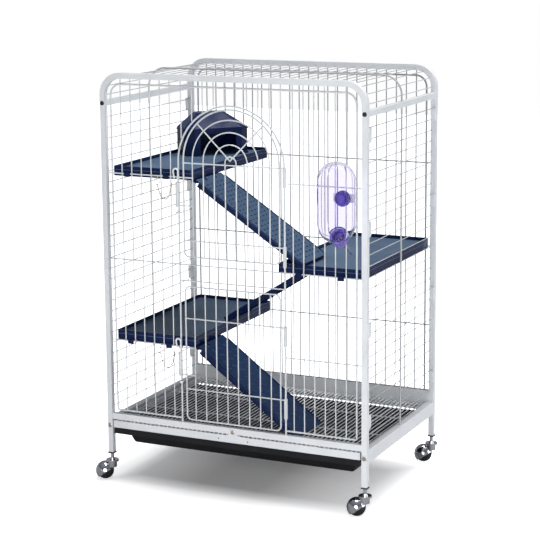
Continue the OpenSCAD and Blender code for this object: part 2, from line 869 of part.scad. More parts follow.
hook_far = 1.5;
hook_near = 5.5;
upper_corner = 24;
low_corner = 9;
left_shelf_x = -shelf_out;
middle_shelf_x = inner_x - 1.5 - shelf_w;
left_edge = left_shelf_x + shelf_w;
left_hooks = [-(border_x - hook_far * pitch), -(border_x - hook_near * pitch)];
right_hooks = [border_x - hook_far * pitch, border_x - hook_near * pitch];
ramp_pin_x = left_edge + ramp_pin_out;
upper_pin_z = upper_shelf_z - shelf_h - ramp_pin_drop;
lower_pin_z = lower_shelf_z - shelf_h - ramp_pin_drop;
middle_pin_x = middle_shelf_x - ramp_pin_out;
middle_pin_z = middle_shelf_z - shelf_h - middle_pin_drop;

// Wall under the skirt that closes the gap behind the head of a ramp
module ramp_head_wall(pin_z) {
    block(left_edge - shelf_wall, left_edge, ramp_y, ramp_y + ramp_w, pin_z - 1, pin_z + 6);
}

module upper_shelf() {
    color(navy) placed() {
        shelf(left_shelf_x, upper_shelf_z, high_cross_z, left_hooks, upper_corner);
        ramp_hanger(ramp_pin_x, upper_pin_z, left_edge - 1, upper_pin_z + 10, ramp_y);
        ramp_head_wall(upper_pin_z);
    }
}

module middle_shelf() {
    color(navy) placed() {
        shelf(middle_shelf_x, middle_shelf_z, mid_cross_z, right_hooks, low_corner);
        ramp_hanger(middle_pin_x, middle_pin_z, middle_shelf_x + 4,
            middle_shelf_z - shelf_h + 3, middle_ramp_y);
    }
}

module lower_shelf() {
    color(navy) placed() {
        shelf(left_shelf_x, lower_shelf_z, low_cross_z, left_hooks, low_corner);
        ramp_hanger(ramp_pin_x, lower_pin_z, left_edge - 1, lower_pin_z + 10, ramp_y);
        ramp_head_wall(lower_pin_z);
    }
}

// Slope of a ramp whose foot, len away, stands drop below its pin
function foot_slope(len, drop) =
    asin((drop - 0.3) / norm([len, ramp_under])) - atan2(-ramp_under, len);
// Slope of a ramp that lies on the inner edge of a rim at run and drop from its pin
function edge_slope(run, drop) =
    atan2(drop - 0.3, run) - asin(-ramp_under / norm([run, drop - 0.3]));

upper_slope = foot_slope(upper_ramp_len, upper_pin_z - (middle_shelf_z - shelf_lip));
lower_slope = foot_slope(lower_ramp_len, lower_pin_z - grate_top);
middle_slope = edge_slope(middle_pin_x - left_edge + shelf_wall, middle_pin_z - lower_shelf_z);

// Ramp that runs along +X from its pin, with saddles that hook on the pin
module ramp(len) {
    root = ramp_pin_d / 2 + 6;
    deck = ramp_top - shelf_wall;
    saddle_r = ramp_top;
    block(root, len, 0, ramp_w, deck, ramp_top);
    for (y = [0, ramp_w - shelf_wall])
        block(root, len, y, y + shelf_wall, ramp_under, ramp_top + 1.5);
    block(len - shelf_wall, len, 0, ramp_w, ramp_under, ramp_top);
    for (y = [[3, 0.3 * ramp_w - clear], [0.3 * ramp_w + 5 + clear, 0.7 * ramp_w - 5 - clear],
            [0.7 * ramp_w + clear, ramp_w - 3]])
        difference() {
            union() {
                intersection() {
                    wire_y(0, y[0], y[1], 0, 2 * saddle_r);
                    block(-saddle_r - over, saddle_r + over, y[0], y[1], 0, saddle_r + over);
                }
                block(0, root + 1, y[0], y[1], deck, ramp_top);
            }
            wire_y(0, y[0] - over, y[1] + over, 0, ramp_pin_d + 2 * pin_fit);
        }
}

module upper_ramp() {
    color(slate_blue) placed() translate([ramp_pin_x, ramp_y, upper_pin_z])
        rotate([0, upper_slope, 0]) ramp(upper_ramp_len);
}

module lower_ramp() {
    color(slate_blue) placed() translate([ramp_pin_x, ramp_y, lower_pin_z])
        rotate([0, lower_slope, 0]) ramp(lower_ramp_len);
}

module middle_ramp() {
    color(navy) placed() translate([middle_pin_x, middle_ramp_y, middle_pin_z])
        mirror([1, 0, 0]) rotate([0, middle_slope, 0]) ramp(middle_ramp_len);
}

// ---- hut ----

function octagon(w, d, c) = [
    [-w / 2 + c, -d / 2], [w / 2 - c, -d / 2], [w / 2, -d / 2 + c], [w / 2, d / 2 - c],
    [w / 2 - c, d / 2], [-w / 2 + c, d / 2], [-w / 2, d / 2 - c], [-w / 2, -d / 2 + c]
];

// Straight walls under a roof that rises to a small flat top
module hut_form(inset, low) {
    union() {
        translate([0, 0, low]) linear_extrude(hut_eave - inset - low + touch)
            polygon(octagon(hut_w - 2 * inset, hut_d - 2 * inset, hut_cut));
        hull() {
            translate([0, 0, hut_eave - inset]) linear_extrude(3)
                polygon(octagon(hut_w - 2 * inset, hut_d - 2 * inset, hut_cut));
            translate([0, hut_roof_shift, hut_h - inset - 1]) linear_extrude(1)
                polygon(octagon(hut_w * 0.44 - inset, hut_d * 0.42 - inset, hut_cut * 0.4));
        }
    }
}

// Ledge that runs round the hut from the height z
module hut_band(z, h) {
    translate([0, 0, z]) linear_extrude(h)
        polygon(octagon(hut_w + 2 * hut_ledge, hut_d + 2 * hut_ledge, hut_cut));
}

module hut() {
    door_half = 44;
    door_h = 52;
    corner = 7;
    wall = 2.4;
    floor_z = upper_shelf_z - shelf_lip + touch;
    color(navy) placed() translate([hut_x, hut_y, floor_z]) rotate([0, 0, 45])
        difference() {
            union() {
                hut_form(0, 0);
                hut_band(0, 4);
                hut_band(hut_eave - 3, 3);
            }
            hut_form(wall, -over);
            translate([0, 0, -over]) rotate([90, 0, 0]) linear_extrude(hut_d) {
                translate([-door_half, 0]) square([2 * door_half, door_h - corner]);
                translate([corner - door_half, 0]) square([2 * (door_half - corner), door_h]);
                for (side = [-1, 1])
                    translate([side * (door_half - corner), door_h - corner])
                        circle(r = corner, $fn = 32);
            }
        }
}

// ---- bottle ----

// Capsule with a flat front and back, shrunk by a wall on every side
module bottle_form(wall) {
    round = bottle_w / 2 - wall;
    flat = bottle_t / 2 - wall;
    low = bottle_z + bottle_w / 2;
    high = bottle_z + bottle_h - bottle_w / 2;
    translate([bottle_x, bottle_y, low]) linear_extrude(high - low) intersection() {
        circle(r = round, $fn = 64);
        square([2 * round + over, 2 * flat], center = true);
    }
    for (end = [[low, 180], [high, 0]])
        translate([bottle_x, bottle_y, end[0]]) rotate([90, 0, 0]) rotate([0, 0, end[1]])
            rotate_extrude(angle = 180, $fn = 64) intersection() {
                circle(r = round, $fn = 64);
                translate([0, -flat]) square([round + over, 2 * flat]);
            }
}

// Stands its children along the tilted axis of the cap
module on_cap_axis() {
    translate([bottle_x, cap_y, cap_z]) rotate([spout_tilt - 90, 0, 0]) children();
}

cap_len = 16;
neck_r = 13.5;

seat_z = -cap_len / 2 - 1;
seat_r = cap_r + 0.6;

// Hollow of the bottle, kept clear of the seat of the cap
module bottle_hollow() {
    difference() {
        bottle_form(bottle_wall);
        on_cap_axis() translate([0, 0, seat_z - bottle_wall])
            cylinder(h = 60, r = seat_r + bottle_wall);
    }
}

module bottle_body() {
    color(clear_blue, 0.5) placed() difference() {
        union() {
            difference() {
                bottle_form(0);
                on_cap_axis() translate([0, 0, seat_z]) cylinder(h = 60, r = seat_r);
                translate([bottle_x, bottle_y + bottle_t / 2 - 1.2, knob_z]) rotate([-90, 0, 0])
                    cylinder(h = 10, r = 9.3);
                bottle_hollow();
            }
            on_cap_axis() translate([0, 0, seat_z - bottle_wall / 2])
                cylinder(h = cap_len - 4 + bottle_wall / 2, r = neck_r);
        }
        on_cap_axis() translate([0, 0, seat_z - bottle_wall - over])
            cylinder(h = cap_len + 6, r = neck_r - 2);
    }
}

module bottle_cap() {
    color(purple) placed() on_cap_axis() difference() {
        translate([0, 0, -cap_len / 2]) cylinder(h = cap_len, r = cap_r);
        translate([0, 0, -cap_len / 2 - over]) cylinder(h = cap_len - 3 + over, r = neck_r + touch);
        translate([0, 0, -cap_len]) cylinder(h = 2 * cap_len, d = spout_d + 2 * touch);
    }
}

module bottle_spout() {
    start = cap_len / 2 - 3 + 0.2;
    length = 72;
    color(chrome) placed() on_cap_axis() translate([0, 0, start]) difference() {
        cylinder(h = length, d = spout_d);
        translate([0, 0, -over]) cylinder(h = length + 2 * over, d = spout_d - 2);
    }
}

// Pad on the back of the bottle, stud between two wires, clamp plate and nut
module bottle_bracket() {
    pad_y = bottle_y + bottle_t / 2 - 1.2 + touch;
    plate_y = touch - face_y;
    color(powder_white) placed() translate([bottle_x, 0, knob_z]) {
        translate([0, pad_y, 0]) rotate([-90, 0, 0]) cylinder(h = 3.4, r = 9);
        wire_y(0, pad_y + 1, plate_y + 10, 0, 6);
        block(-pitch * 0.95, pitch * 0.95, plate_y, plate_y + 2.5, -9, 9);
        translate([0, plate_y + 2, 0]) rotate([-90, 0, 0]) cylinder(h = 5, r = 6, $fn = 6);
    }
}

// Knob on the stud, which draws the bottle against the wires
module bottle_knob() {
    rear = -upright_y - upright_d / 2 - 0.2;
    front = bottle_y + bottle_t / 2 - 1.2 + touch + 3.4 + clear;
    color(purple) placed() translate([bottle_x, 0, knob_z]) difference() {
        union() {
            wire_y(0, front, rear, 0, 2 * knob_r - 4);
            wire_y(0, front + 1.5, rear, 0, 2 * knob_r);
        }
        wire_y(0, front - over, rear + over, 0, 6 + 2 * pin_fit);
    }
}

// ---- grate and tray ----

module grate() {
    half_count = floor((inner_x - 8) / grate_pitch - 0.5);
    bar_x = inner_x - 5.5;
    front = -plate_face_y + sheet + touch;
    rear = inner_y - 6;
    color(powder_white) placed() {
        both_sides()
            for (i = [0:half_count])
                wire_y((i + 0.5) * grate_pitch, front, rear, grate_wire_z, grate_wire_d);
        for (y = [front + 22, front / 3, rear / 3, rear - 8])
            wire_x(-bar_x, bar_x, y, grate_bar_z, cross_d);
    }
}

// Front plate with the ear that the lock screw holds to the front rail
module grate_plate() {
    top = grate_wire_z - grate_wire_d / 2 - touch;
    low = top - grate_plate_h;
    ear_top = front_rail_z + 11;
    plate_x = inner_x - 3;
    back = sheet - plate_face_y;
    color(powder_white) placed() difference() {
        union() {
            block(-plate_x, plate_x, -plate_face_y, back, low, top);
            block(-plate_x, plate_x, back - over, back + 8, top - sheet, top);
            block(-plate_x, plate_x, back - over, back + 5, low, low + sheet);
            along_y(-plate_face_y, back) polygon([
                [-16, top - 1], [16, top - 1], [9, top + 4], [8, ear_top], [-8, ear_top],
                [-9, top + 4]
            ]);
        }
        wire_y(0, -half_d - over, -inner_y, front_rail_z + 5, bolt_d - 1 + 2 * pin_fit);
        both_sides()
            wire_y(35.8, -half_d - over, back + over, low + 7, 3);
    }
}

module grate_screw() {
    color(brass) placed() translate([0, -plate_face_y - touch, front_rail_z + 5]) {
        wire_y(0, 0, 4, 0, bolt_d - 1);
        wire_y(0, -1.6, 0, 0, 9);
        wire_y(0, -5, -1, 0, 6);
    }
}

// Rounded outline of the tray, with draft towards the bottom
module tray_form(x, y, z0, z1, inset) {
    round = 10;
    hull() {
        for (sx = [-1, 1], sy = [-1, 1]) {
            translate([sx * (x - 24 - inset), sy * (y - 24 - inset), z1 - 1]) cylinder(h = 1, r = 14);
            translate([sx * (x - 32 - inset), sy * (y - 32 - inset), z0 + round])
                sphere(r = round, $fn = 20);
        }
    }
}

module tray() {
    tray_y = inner_y - 8;
    flange = 3;
    basin_x = tray_x - 4;
    basin_y = tray_y + 8;
    low = tray_ledge_z + 0.3;
    color(black) placed() difference() {
        union() {
            block(-tray_x, tray_x, -tray_y, tray_y, low, low + flange);
            both_sides() block(tray_x - 3, tray_x, -tray_y, tray_y, low, tray_rim_z);
            block(-tray_x, tray_x, tray_y - 3, tray_y, low, tray_rim_z);
            block(-tray_x, tray_x, -plate_face_y, -tray_y + 3, low, low + flange);
            block(-tray_x, tray_x, -plate_face_y, -plate_face_y + 3, low - 7.7, tray_rim_z);
            tray_form(basin_x, basin_y, tray_bottom_z, low + 1, 0);
        }
        tray_form(basin_x, basin_y, tray_bottom_z + tray_wall, low + flange + over, tray_wall);
    }
}

// ---- casters ----

module caster_stems() {
    color(chrome) placed() both_ends() both_sides() translate([leg_x, leg_y, 0]) {
        wire_z(0, 0, boss_top - 9, leg_end_z + 24, stem_d);
        wire_z(0, 0, boss_top + clear, boss_top + clear + 2.5, stem_d + 5);
    }
}

// Dome over a ball wheel, cut by a tilted plane, with the boss on the stem
module caster_hood() {
    cut = 4 * hood_r;
    color(chrome) difference() {
        union() {
            translate([-trail, 0, wheel_r]) difference() {
                sphere(r = hood_r, $fn = 64);
                rotate([0, -hood_tilt, 0]) translate([-cut / 2, -cut / 2, -cut - hood_overlap])
                    cube(cut);
            }
            wire_z(0, 0, boss_low, boss_top - 3, 2 * boss_r);
            wire_z(0, 0, boss_top - 4, boss_top, 2 * boss_plate_r);
        }
        translate([-trail, 0, wheel_r]) sphere(r = wheel_r + hood_gap, $fn = 64);
        wire_z(0, 0, boss_top - 10, boss_top + over, stem_d + 2 * pin_fit);
        wire_y(-trail, -hood_r - over, hood_r + over, wheel_r, axle_d + 2 * touch);
    }
}

module caster_axle() {
    color(chrome) both_ends() {
        wire_y(-trail, 0, hood_r + 0.2, wheel_r, axle_d);
        wire_y(-trail, hood_r + 0.1, hood_r + axle_cap, wheel_r, 2 * axle_cap_r);
    }
}

// Ball with flat ends, bored for the axle
module caster_wheel() {
    face = wheel_r - 2.2;
    bore = axle_d / 2 + pin_fit;
    color(black) translate([-trail, 0, wheel_r]) rotate([90, 0, 0])
        rotate_extrude($fn = 64) intersection() {
            circle(r = wheel_r, $fn = 64);
            translate([bore, -face]) square([wheel_r, 2 * face]);
        }
}

module corner(sx, sy) {
    placed() translate([sx * leg_x, sy * leg_y, 0]) children();
}

module caster_hood_fl() { corner(-1, -1) caster_hood(); }
module caster_hood_fr() { corner(1, -1) caster_hood(); }
module caster_hood_rl() { corner(-1, 1) caster_hood(); }
module caster_hood_rr() { corner(1, 1) caster_hood(); }
module caster_axle_fl() { corner(-1, -1) caster_axle(); }
module caster_axle_fr() { corner(1, -1) caster_axle(); }
module caster_axle_rl() { corner(-1, 1) caster_axle(); }
module caster_axle_rr() { corner(1, 1) caster_axle(); }
module caster_wheel_fl() { corner(-1, -1) caster_wheel(); }
module caster_wheel_fr() { corner(1, -1) caster_wheel(); }
module caster_wheel_rl() { corner(-1, 1) caster_wheel(); }
module caster_wheel_rr() { corner(1, 1) caster_wheel(); }

front_frame();
rear_frame();
top_side_rails();
left_base_rail();
right_base_rail();
front_base_rail();
rear_base_rail();
upper_bolts();
lower_bolts();
leg_plugs();
top_panel();
left_side_panel();
right_side_panel();
panel_tabs();
rear_panel();
front_border();
front_left_bay();
front_right_bay();
front_top_wires();
door_posts();
door_arch();
front_cross_wires();
latch_keepers();
upper_chain();
lower_chain();
upper_door();
lower_door();
upper_latch_pin();
lower_latch_pin();
upper_shelf();
middle_shelf();
lower_shelf();
upper_ramp();
middle_ramp();
lower_ramp();
hut();
bottle_body();
bottle_cap();
bottle_spout();
bottle_bracket();
bottle_knob();
grate();
grate_plate();
grate_screw();
tray();
caster_stems();
caster_hood_fl();
caster_hood_fr();
caster_hood_rl();
caster_hood_rr();
caster_axle_fl();
caster_axle_fr();
caster_axle_rl();
caster_axle_rr();
caster_wheel_fl();
caster_wheel_fr();
caster_wheel_rl();
caster_wheel_rr();
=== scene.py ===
import math

import bmesh
import bpy
from mathutils import Matrix, Vector


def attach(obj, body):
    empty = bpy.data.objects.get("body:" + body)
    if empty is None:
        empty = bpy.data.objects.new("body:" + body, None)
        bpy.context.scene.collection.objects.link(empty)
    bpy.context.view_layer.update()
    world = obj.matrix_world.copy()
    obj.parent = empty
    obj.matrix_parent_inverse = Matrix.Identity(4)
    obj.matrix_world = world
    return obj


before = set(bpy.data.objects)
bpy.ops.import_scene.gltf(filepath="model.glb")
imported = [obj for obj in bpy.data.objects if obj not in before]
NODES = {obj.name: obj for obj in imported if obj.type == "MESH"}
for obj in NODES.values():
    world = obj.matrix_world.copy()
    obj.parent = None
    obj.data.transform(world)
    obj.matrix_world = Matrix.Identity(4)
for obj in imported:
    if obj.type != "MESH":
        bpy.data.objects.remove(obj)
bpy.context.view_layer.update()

MM = 0.001

# Place of the middle of the cage in the frame, in millimetres
SHIFT_X = 13.55
SHIFT_Y = 21.225

# Heights of the shelves' rims, depth and wall of their recess, free edge of the left ones
UPPER_SHELF_Z = 732.0
MIDDLE_SHELF_Z = 541.0
LOWER_SHELF_Z = 356.0
SHELF_LIP = 8.0
SHELF_WALL = 3.0
SHELF_EDGE_X = -98.0
# Top of the grate, and the plane between the bottle's bracket and the pad on its front
GRATE_TOP = 146.1
BRACKET_FRONT_Y = -218.0

# Ramps: width, heights of deck and underside over the pin, gap under the free end at rest
RAMP_W = 127.0
RAMP_TOP = 5.0
RAMP_UNDER = -5.5
REST_GAP = 0.3
# Pins, near edges and lengths of the ramps
RAMP_PIN_X = -92.5
UPPER_PIN_Z = 705.5
LOWER_PIN_Z = 329.5
MIDDLE_PIN_X = 102.5
MIDDLE_PIN_Z = 492.0
RAMP_Y = -199.6
MIDDLE_RAMP_Y = -30.0
UPPER_LEN = 305.0
MIDDLE_LEN = 250.0
LOWER_LEN = 300.0

SIDE_WIRES = ("left_side_panel", "right_side_panel", "top_panel")
FRONT_WIRES = (
    "front_border", "front_left_bay", "front_right_bay", "front_top_wires", "door_posts",
    "door_arch", "front_cross_wires", "upper_door", "lower_door")


def at(x, y, z):
    """Point of the cage, from millimetres to metres."""
    return Vector(((x + SHIFT_X) * MM, (y + SHIFT_Y) * MM, z * MM))


# ---- materials ----

# Parts of a noise that are stretched to its full range
MIDDLE = (0.35, 0.65)
WIDE = (0.3, 0.7)
# Depth of the finest grain, in metres
FINE = 0.0002
# Half heights of the layers painted as a ramp's deck and a shelf's floor, in millimetres
DECK_LAYER = 0.4
FLOOR_LAYER = 0.5


class Paint:
    """A material with short ways to add nodes to it."""

    def __init__(self, name):
        self.mat = bpy.data.materials.new(name)
        self.mat.use_nodes = True
        self.tree = self.mat.node_tree
        self.shader = self.tree.nodes["Principled BSDF"]
        self.coord = self.add("ShaderNodeTexCoord").outputs["Object"]

    def add(self, kind, **values):
        node = self.tree.nodes.new(kind)
        for key, value in values.items():
            setattr(node, key, value)
        return node

    def link(self, a, b):
        self.tree.links.new(a, b)

    def value(self, name, value):
        self.shader.inputs[name].default_value = value

    def noise(self, scale, detail=3.0):
        node = self.add("ShaderNodeTexNoise")
        node.inputs["Scale"].default_value = scale
        node.inputs["Detail"].default_value = detail
        self.link(self.coord, node.inputs["Vector"])
        return node.outputs["Fac"]

    def patches(self, scale, detail, edge=MIDDLE):
        """Noise stretched to 0..1 between the two values of edge."""
        return self.ramp(self.noise(scale, detail), edge[0], edge[1], 0, 1)

    def uneven(self, scale, detail, low, high):
        """Roughness that drifts between low and high."""
        self.rough(self.ramp(self.noise(scale, detail), *WIDE, low, high))

    def ramp(self, fac, low, high, a, b):
        node = self.add("ShaderNodeMapRange")
        node.inputs["From Min"].default_value = low
        node.inputs["From Max"].default_value = high
        node.inputs["To Min"].default_value = a
        node.inputs["To Max"].default_value = b
        self.link(fac, node.inputs["Value"])
        return node.outputs["Result"]

    def math(self, operation, a, b=None):
        node = self.add("ShaderNodeMath", operation=operation)
        for i, value in enumerate((a, b)):
            if value is None:
                continue
            if isinstance(value, (int, float)):
                node.inputs[i].default_value = value
            else:
                self.link(value, node.inputs[i])
        return node.outputs[0]

    def mix(self, fac, a, b):
        node = self.add("ShaderNodeMix", data_type="RGBA")
        for socket, value in (("Factor", fac), ("A", a), ("B", b)):
            target = [s for s in node.inputs if s.name == socket and s.enabled][0]
            if isinstance(value, tuple):
                target.default_value = value + (1.0,)
            elif isinstance(value, (int, float)):
                target.default_value = value
            else:
                self.link(value, target)
        return [s for s in node.outputs if s.enabled][0]

    def colour(self, socket):
        self.link(socket, self.shader.inputs["Base Color"])

    def rough(self, socket):
        self.link(socket, self.shader.inputs["Roughness"])

    def bump(self, height, strength, distance):
        node = self.add("ShaderNodeBump")
        node.inputs["Strength"].default_value = strength
        node.inputs["Distance"].default_value = distance
        self.link(height, node.inputs["Height"])
        last = self.shader.inputs["Normal"]
        if last.is_linked:
            self.link(last.links[0].from_socket, node.inputs["Normal"])
        self.link(node.outputs["Normal"], last)

    def turned(self, origin, slope):
        """Object coordinates from origin, turned about Y so that X runs down a slope."""
        move = self.add("ShaderNodeMapping", vector_type="POINT")
        move.inputs["Location"].default_value = -origin
        self.link(self.coord, move.inputs["Vector"])
        turn = self.add("ShaderNodeMapping", vector_type="POINT")
        turn.inputs["Rotation"].default_value = (0, -slope, 0)
        self.link(move.outputs["Vector"], turn.inputs["Vector"])
        return turn.outputs["Vector"]

    def split(self, vector):
        node = self.add("ShaderNodeSeparateXYZ")
        self.link(vector, node.inputs["Vector"])
        return node.outputs


COAT_WHITES = ((0.72, 0.745, 0.77), (0.78, 0.8, 0.82))


def powder_coat():
    p = Paint("white_powder_coat")
    drift = p.patches(9, 2)
    p.colour(p.mix(drift, *COAT_WHITES))
    p.uneven(240, 3, 0.3, 0.42)
    p.bump(p.noise(1400, 2), 0.12, FINE)
    p.value("Coat Weight", 0.25)
    p.value("Coat Roughness", 0.18)
    return p.mat


def shaded_wire_coat(name, painted_lightness):
    """Powder coat of thin wires, painted greyer than the frame's coat as painted shade: the
    second argument is how light it is.
    """
    p = Paint(name)
    drift = p.patches(9, 2)
    dull = (painted_lightness * 0.93, painted_lightness * 0.97, painted_lightness)
    clean = (painted_lightness * 1.01, painted_lightness * 1.04, painted_lightness * 1.06)
    p.colour(p.mix(drift, dull, clean))
    p.uneven(240, 3, 0.35, 0.48)
    p.bump(p.noise(1400, 2), 0.12, FINE)
    return p.mat


def bright_plating():
    p = Paint("chrome")
    p.value("Metallic", 1.0)
    haze = p.noise(60, 4)
    clouded = p.ramp(haze, *WIDE, 0, 1)
    p.colour(p.mix(clouded, (0.74, 0.75, 0.78), (0.82, 0.83, 0.85)))
    p.rough(p.ramp(haze, *WIDE, 0.05, 0.12))
    p.bump(p.noise(900, 2), 0.03, FINE)
    return p.mat


def yellow_zinc():
    p = Paint("zinc_brass")
    p.value("Metallic", 1.0)
    tint = p.patches(300, 3, WIDE)
    p.colour(p.mix(tint, (0.62, 0.55, 0.44), (0.78, 0.72, 0.62)))
    p.uneven(500, 3, 0.25, 0.4)
    return p.mat


def dark_steel():
    p = Paint("dark_steel")
    p.value("Metallic", 0.8)
    p.colour(p.mix(p.noise(400, 3), (0.02, 0.02, 0.025), (0.09, 0.09, 0.1)))
    p.uneven(600, 2, 0.3, 0.5)
    return p.mat


def grained_black():
    p = Paint("black_plastic")
    cells = p.add("ShaderNodeTexVoronoi", feature="SMOOTH_F1")
    cells.inputs["Scale"].default_value = 420
    p.link(p.coord, cells.inputs["Vector"])
    wear = p.patches(14, 4, (0.4, 0.75))
    p.colour(p.mix(wear, (0.004, 0.004, 0.005), (0.01, 0.01, 0.012)))
    p.uneven(90, 4, 0.28, 0.42)
    p.bump(cells.outputs["Distance"], 0.25, 0.0004)
    return p.mat


def tread_rubber():
    p = Paint("wheel_rubber")
    dust = p.patches(120, 5, (0.45, 0.8))
    p.colour(p.mix(dust, (0.006, 0.006, 0.007), (0.03, 0.03, 0.033)))
    p.uneven(60, 3, 0.42, 0.6)
    p.bump(p.noise(1500, 2), 0.15, FINE)
    return p.mat


NAVY = (0.003, 0.01, 0.05)
NAVY_EDGE = (0.006, 0.016, 0.07)
SLATE = (0.058, 0.103, 0.172)
SLATE_LIGHT = (0.092, 0.148, 0.225)
# Painted shade: the upper ramp's deck darkens to this colour at its upper end, in the shelf's
# shade
SLATE_SHADED = (0.035, 0.068, 0.125)
# Decks of the middle and lower ramps, from the upper to the lower end: darker at the upper
# end as painted shade under the shelves, lighter at the lower end as painted light
DECK_SHADED_BLUE = (0.01, 0.033, 0.1)
DECK_LIT_BLUE = (0.02, 0.05, 0.125)


def gloss_navy(name="navy_plastic"):
    p = Paint(name)
    flow = p.patches(11, 3)
    p.colour(p.mix(flow, NAVY, NAVY_EDGE))
    p.uneven(35, 3, 0.14, 0.24)
    p.bump(p.noise(700, 2), 0.05, FINE)
    p.value("Specular IOR Level", 0.25)
    p.value("Coat Weight", 0.08)
    p.value("Coat Roughness", 0.06)
    return p


class Ramp:
    """Place of a ramp: along runs down it, across is +Y, up is its normal."""

    def __init__(self, pin_x, pin_z, y, slope, side):
        self.pin = (pin_x, y, pin_z)
        self.slope = slope
        self.side = side

    def at(self, along, across, up):
        cos, sin = math.cos(self.slope), math.sin(self.slope)
        x, y, z = self.pin
        return at(
            x + self.side * (along * cos + up * sin),
            y + across,
            z - along * sin + up * cos,
        )


def foot_slope(length, drop):
    """Slope at rest of a ramp whose foot stands on a floor this drop below its pin."""
    reach = math.hypot(length, RAMP_UNDER)
    return math.asin((drop - REST_GAP) / reach) - math.atan2(-RAMP_UNDER, length)


def edge_slope(run, drop):
    """Slope at rest of a ramp that lies on an edge this run and drop from its pin."""
    reach = math.hypot(run, drop - REST_GAP)
    return math.atan2(drop - REST_GAP, run) - math.asin(-RAMP_UNDER / reach)


UPPER_RAMP = Ramp(
    RAMP_PIN_X, UPPER_PIN_Z, RAMP_Y,
    foot_slope(UPPER_LEN, UPPER_PIN_Z - MIDDLE_SHELF_Z + SHELF_LIP), 1)
LOWER_RAMP = Ramp(
    RAMP_PIN_X, LOWER_PIN_Z, RAMP_Y,
    foot_slope(LOWER_LEN, LOWER_PIN_Z - GRATE_TOP), 1)
MIDDLE_RAMP = Ramp(
    MIDDLE_PIN_X, MIDDLE_PIN_Z, MIDDLE_RAMP_Y,
    edge_slope(MIDDLE_PIN_X - SHELF_EDGE_X + SHELF_WALL, MIDDLE_PIN_Z - LOWER_SHELF_Z), -1)


def ramp_plastic(name, ramp, high, low, length):
    """Navy sides and rims, and a deck that goes from the colour high to low down the ramp:
    painted shade at its upper end and painted light at its lower end.
    """
    p = gloss_navy(name)
    navy = p.shader.inputs["Base Color"].links[0].from_socket
    local = p.split(p.turned(ramp.at(0, 0, 0), ramp.slope * ramp.side))
    along = p.math("MULTIPLY", local[0], ramp.side)
    over = p.math("GREATER_THAN", local[2], (RAMP_TOP - DECK_LAYER) * MM)
    under = p.math("LESS_THAN", local[2], (RAMP_TOP + DECK_LAYER) * MM)
    deck = p.math("MULTIPLY", over, under)
    way = p.math("MULTIPLY", p.ramp(along, 0.0, length * MM, 0.0, 1.0), 0.75)
    cloud = p.math("SUBTRACT", p.math("MULTIPLY", p.noise(22, 4), 0.5), 0.12)
    way = p.math("ADD", way, cloud)
    p.colour(p.mix(deck, navy, p.mix(way, high, low)))
    p.rough(p.math("ADD", p.math("MULTIPLY", deck, 0.2), 0.17))
    p.bump(p.math("MULTIPLY", p.noise(450, 3), deck), 0.35, 0.0005)
    return p.mat


def tinted_plastic():
    p = Paint("clear_plastic")
    p.value("Transmission Weight", 1.0)
    p.value("IOR", 1.1)
    p.colour(p.mix(p.noise(6, 2), (0.83, 0.81, 0.93), (0.89, 0.875, 0.955)))
    p.uneven(40, 3, 0.01, 0.05)
    return p.mat


def purple_plastic(name, low, high, clearness):
    p = Paint(name)
    p.colour(p.mix(p.patches(60, 3), low, high))
    p.value("Transmission Weight", clearness)
    p.uneven(200, 3, 0.2, 0.32)
    p.bump(p.noise(800, 2), 0.06, FINE)
    return p.mat


def bracket_finish(front_y):
    """White metal, with the pad in front of the plane front_y in purple plastic."""
    p = Paint("bottle_bracket_finish")
    pad = p.math("LESS_THAN", p.split(p.coord)[1], front_y)
    wear = p.patches(120, 3)
    white = p.mix(wear, *COAT_WHITES)
    p.colour(p.mix(pad, white, (0.12, 0.08, 0.4)))
    p.uneven(240, 3, 0.28, 0.42)
    return p.mat


def shelf_plastic(name, floor_z):
    """Navy rims and skirts, and a lighter grained floor at floor_z."""
    p = gloss_navy(name)
    navy = p.shader.inputs["Base Color"].links[0].from_socket
    z = p.split(p.coord)[2]
    low = p.math("GREATER_THAN", z, floor_z - FLOOR_LAYER * MM)
    high = p.math("LESS_THAN", z, floor_z + FLOOR_LAYER * MM)
    floor = p.math("MULTIPLY", low, high)
    cloud = p.patches(16, 4, WIDE)
    speck = p.patches(600, 2, (0.45, 0.6))
    blue = p.mix(cloud, SLATE, SLATE_LIGHT)
    blue = p.mix(p.math("MULTIPLY", speck, 0.3), blue, (0.03, 0.055, 0.11))
    p.colour(p.mix(floor, navy, blue))
    p.rough(p.math("ADD", p.math("MULTIPLY", floor, 0.3), 0.17))
    p.bump(p.math("MULTIPLY", p.noise(500, 3), floor), 0.5, 0.0006)
    return p.mat


def assign(material, *names):
    for name in names:
        node = NODES[name]
        for i in range(len(node.data.materials)):
            node.data.materials[i] = material
        if not node.data.materials:
            node.data.materials.append(material)


# ---- meshes ----

# Edges sharper than this stay sharp, in degrees
SHARP_ANGLE = 50
# Sides of a grip bar, and size of its ends against the rest of it
BAR_SIDES = 6
BAR_END = 0.45
# Height of a grip bar's axis over its deck, and of a dash's ends
GRIP_RISE = 0.4
DASH_END_RISE = 0.25
# Dashes: half lengths of all and of the middle, tilts of the ends, the middle's part of
# them, distances of rows and in a row, and what stays free at the deck's upper, lower,
# near and far edge
DASH_HALF = 3.6
DASH_MIDDLE = 1.4
DASH_TILTS = (1.1, -0.8)
DASH_BEND = 0.4
DASH_ROW = 11.6
DASH_STEP = 16.4
DASH_FREE = (22.0, 14.0, 12.0, 14.0)
# Waves: length, sway, parts, and the same distances
WAVE_LEN = 21.0
WAVE_SWAY = 3.6
WAVE_PARTS = 8
WAVE_ROW = 17.5
WAVE_STEP = 28.0
WAVE_FREE = (24.0, 18.0, 22.0, 16.0)


